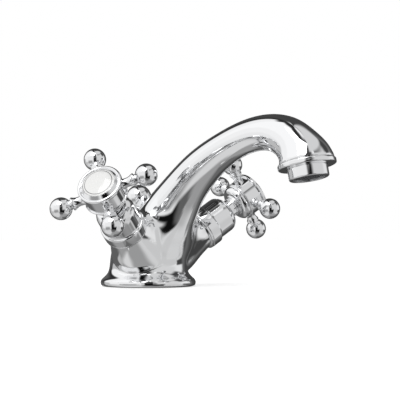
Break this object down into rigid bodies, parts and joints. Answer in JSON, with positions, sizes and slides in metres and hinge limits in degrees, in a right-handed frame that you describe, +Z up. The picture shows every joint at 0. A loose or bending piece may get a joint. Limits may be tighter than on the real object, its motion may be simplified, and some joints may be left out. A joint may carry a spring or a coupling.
{
  "type": "basin mixer tap",
  "caption": "One-hole basin mixer tap: flared base, leaning column running into a curved spout, two cross handles with ball ends and a pop-up waste lift knob.",
  "frame": {"origin": "centre of the base flange's underside, on the basin", "axes": "+Z up; spout reaches towards -Y; hot valve towards -X, cold valve towards +X"},
  "size_m": [0.1707, 0.1701, 0.1011],
  "materials": {
    "chrome_body": "polished",
    "chrome_trim": "polished",
    "chrome_handle": "polished",
    "raw_brass": "satin",
    "spring_steel": "satin",
    "steel_screen": "satin",
    "grey_plastic": "matte",
    "black_rubber": "matte",
    "valve_ceramic": "satin",
    "porcelain": "gloss"
  },
  "bodies": {
    "body": {"body_casting": "chrome_body", "base_seal": "black_rubber", "aerator_housing": "chrome_trim", "aerator_insert": "grey_plastic", "aerator_screen": "steel_screen", "aerator_washer": "black_rubber", "rod_guide": "chrome_trim", "rod_seal": "black_rubber", "hot_bonnet": "chrome_trim", "hot_headwork": "raw_brass", "hot_headwork_washer": "black_rubber", "hot_seat_seal": "black_rubber", "hot_fixed_disc": "valve_ceramic", "cold_bonnet": "chrome_trim", "cold_headwork": "raw_brass", "cold_headwork_washer": "black_rubber", "cold_seat_seal": "black_rubber", "cold_fixed_disc": "valve_ceramic"},
    "hot_handle": {"hot_spindle": "raw_brass", "hot_spindle_o_rings": "black_rubber", "hot_spindle_clip": "spring_steel", "hot_moving_disc": "valve_ceramic", "hot_handle_hub": "chrome_handle", "hot_handle_arms": "chrome_handle", "hot_handle_screw": "spring_steel", "hot_index_bezel": "chrome_trim", "hot_index_disc": "porcelain"},
    "cold_handle": {"cold_spindle": "raw_brass", "cold_spindle_o_rings": "black_rubber", "cold_spindle_clip": "spring_steel", "cold_moving_disc": "valve_ceramic", "cold_handle_hub": "chrome_handle", "cold_handle_arms": "chrome_handle", "cold_handle_screw": "spring_steel", "cold_index_bezel": "chrome_trim", "cold_index_disc": "porcelain"},
    "waste_lift": {"lift_rod": "chrome_trim", "lift_knob": "chrome_handle"}
  },
  "joints": [
    {"name": "hot_turn", "type": "hinge", "parent": "body", "child": "hot_handle", "pos_m": [0, 0, 0.0102], "axis": [0.7647, 0.3152, -0.5621], "range_deg": [0, 90]},
    {"name": "cold_turn", "type": "hinge", "parent": "body", "child": "cold_handle", "pos_m": [0, 0, 0.0102], "axis": [0.7647, -0.3152, 0.5621], "range_deg": [0, 90]},
    {"name": "waste_lift_slide", "type": "slide", "parent": "body", "child": "waste_lift", "axis": [0, 0, 1], "range_m": [0, 0.02]}
  ]
}
